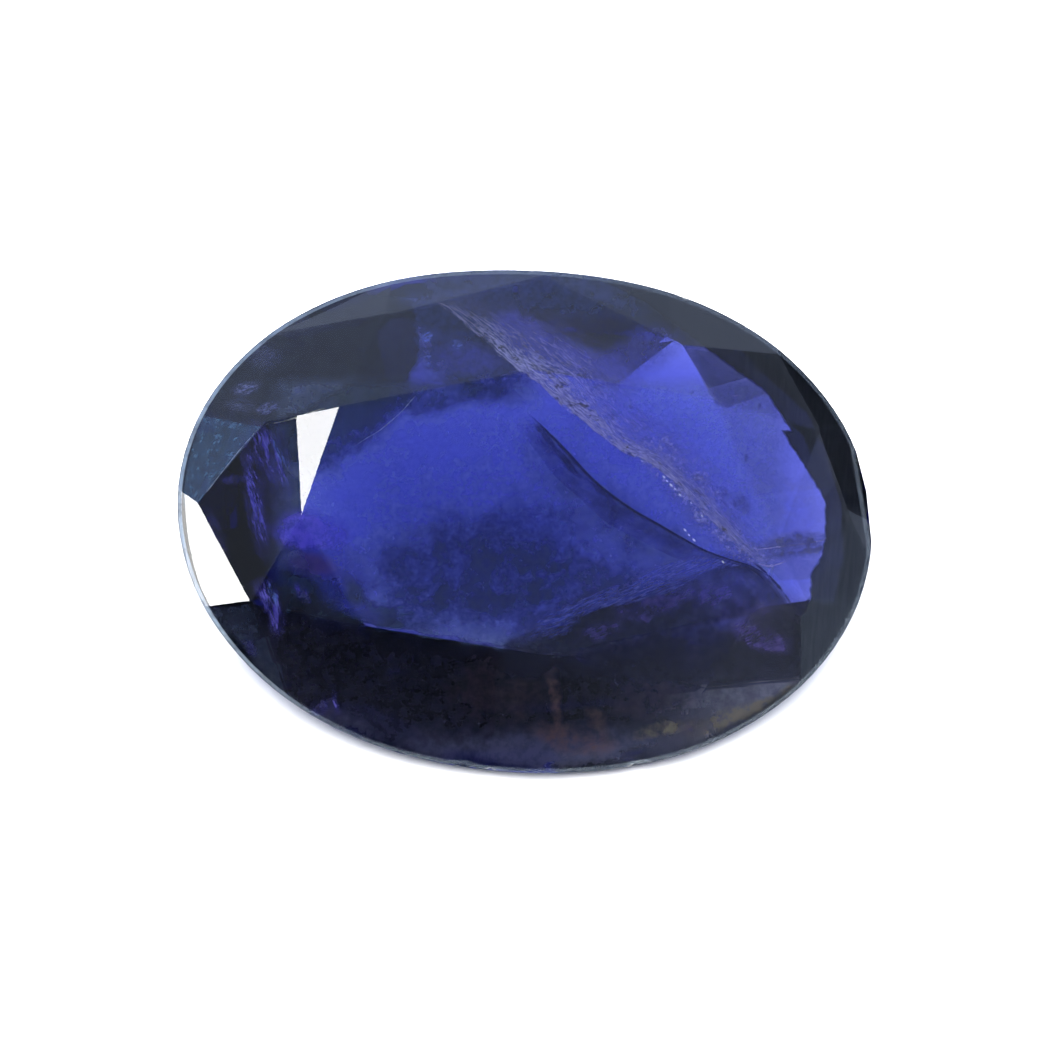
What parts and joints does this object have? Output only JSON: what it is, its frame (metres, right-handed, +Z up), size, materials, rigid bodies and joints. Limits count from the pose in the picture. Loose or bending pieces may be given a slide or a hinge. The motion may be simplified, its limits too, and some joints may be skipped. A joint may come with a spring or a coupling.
{
  "type": "oval cut iolite gemstone",
  "caption": "Oval faceted violet-blue iolite with a brilliant crown, a flat table and long pavilion facets, for a jewellery setting or to lie loose on one facet.",
  "frame": {"origin": "under the middle of the stone's box, on the surface it lies on", "axes": "+X along the stone's length towards its steeper, shorter end; +Z up; the table faces up and towards -Y, 33.4 degrees from the vertical"},
  "size_m": [0.0158, 0.0098, 0.0074],
  "materials": {
    "iolite": "polished facets, clear violet-blue",
    "healed_crack": "pale fibrous film inside the stone",
    "smoky_cloud": "dark bluish haze of fine specks inside the stone",
    "rust_stain": "thin brown film inside the stone",
    "ground_girdle": "finely ground and left unpolished, pale and frosted"
  },
  "bodies": {
    "root": {"iolite": "iolite"}
  },
  "joints": []
}
